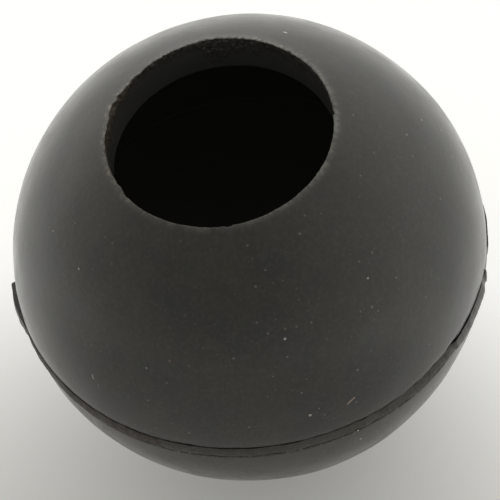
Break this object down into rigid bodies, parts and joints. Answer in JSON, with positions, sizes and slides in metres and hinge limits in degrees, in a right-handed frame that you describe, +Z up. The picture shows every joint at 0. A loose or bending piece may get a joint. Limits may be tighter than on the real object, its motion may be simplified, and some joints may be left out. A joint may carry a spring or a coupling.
{
  "type": "case opening friction ball",
  "caption": "Thick-walled hollow rubber ball with a round opening through its crown, pressed and turned by hand to unscrew a watch case back.",
  "frame": {"origin": "the lowest point of the closed side, where the ball rests on the bench", "axes": "+Z up the axis of the opening; the parting plane's upper side leans towards an azimuth of 55 degrees from +X"},
  "size_m": [0.0656, 0.0656, 0.0582],
  "materials": {
    "shell_rubber": "matte, dusty",
    "seam_rubber": "matte, rough moulding flash"
  },
  "bodies": {
    "root": {"upper_shell": "shell_rubber", "lower_shell": "shell_rubber", "seam_band": "seam_rubber"}
  },
  "joints": []
}
